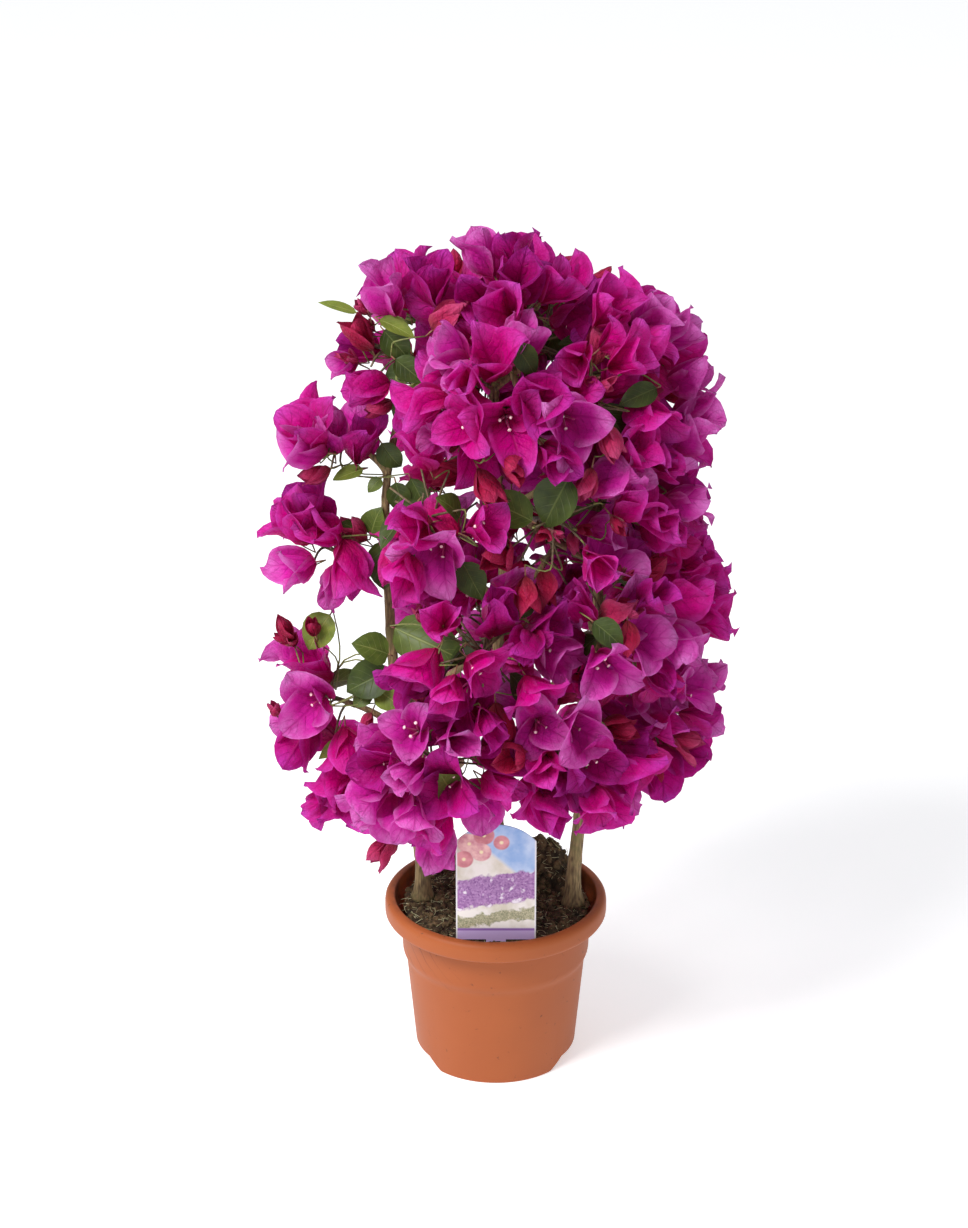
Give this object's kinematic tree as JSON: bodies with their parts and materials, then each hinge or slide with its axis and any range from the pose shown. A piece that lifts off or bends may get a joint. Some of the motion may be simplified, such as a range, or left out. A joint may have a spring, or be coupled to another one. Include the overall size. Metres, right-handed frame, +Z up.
{
  "type": "potted bougainvillea bush",
  "caption": "Flowering bougainvillea trained upright in a round plastic nursery pot: woody stems, side boughs, masses of magenta bracts and green leaves, and a plain plant label.",
  "frame": {"origin": "middle of the pot's flat underside, where it stands on the ground", "axes": "+Z up; -Y is the front, where the plant label stands; +X is to the right seen from the front"},
  "size_m": [0.3721, 0.3815, 0.6691],
  "materials": {
    "pot": "matte",
    "compost": "rough",
    "bark": "rough",
    "foliage": "matte",
    "label": "satin",
    "bracts": "matte",
    "young_bracts": "matte",
    "leaves": "satin",
    "green_twigs": "matte",
    "flowers": "matte"
  },
  "bodies": {
    "root": {"bough_breast_back_left": "bark", "bough_breast_back_right": "bark", "bough_breast_front_left": "bark", "bough_breast_front_right": "bark", "bough_breast_right": "bark", "bough_left_foot": "bark", "bough_left_high": "bark", "bough_left_low": "bark", "bough_left_middle": "bark", "bough_left_shoulder": "bark", "bough_shoulder_back_left": "bark", "bough_shoulder_back_right": "bark", "bough_shoulder_front_left": "bark", "bough_shoulder_front_right": "bark", "bough_shoulder_right": "bark", "bough_skirt_back_left": "bark", "bough_skirt_back_right": "bark", "bough_skirt_front_left": "bark", "bough_skirt_front_right": "bark", "bough_skirt_right": "bark", "bough_top": "bark", "bough_waist_back_left": "bark", "bough_waist_back_right": "bark", "bough_waist_front_left": "bark", "bough_waist_front_right": "bark", "bough_waist_right": "bark", "compost": "compost", "foliage_breast_back_left": "foliage", "foliage_breast_back_right": "foliage", "foliage_breast_front_left": "foliage", "foliage_breast_front_right": "foliage", "foliage_breast_right": "foliage", "foliage_left_foot": "foliage", "foliage_left_high": "foliage", "foliage_left_low": "foliage", "foliage_left_middle": "foliage", "foliage_left_shoulder": "foliage", "foliage_shoulder_back_left": "foliage", "foliage_shoulder_back_right": "foliage", "foliage_shoulder_front_left": "foliage", "foliage_shoulder_front_right": "foliage", "foliage_shoulder_right": "foliage", "foliage_skirt_back_left": "foliage", "foliage_skirt_back_right": "foliage", "foliage_skirt_front_left": "foliage", "foliage_skirt_front_right": "foliage", "foliage_skirt_right": "foliage", "foliage_top": "foliage", "foliage_waist_back_left": "foliage", "foliage_waist_back_right": "foliage", "foliage_waist_front_left": "foliage", "foliage_waist_front_right": "foliage", "foliage_waist_right": "foliage", "plant_label": "label", "pot": "pot", "stem_back": "bark", "stem_left": "bark", "stem_right": "bark"}
  },
  "joints": []
}
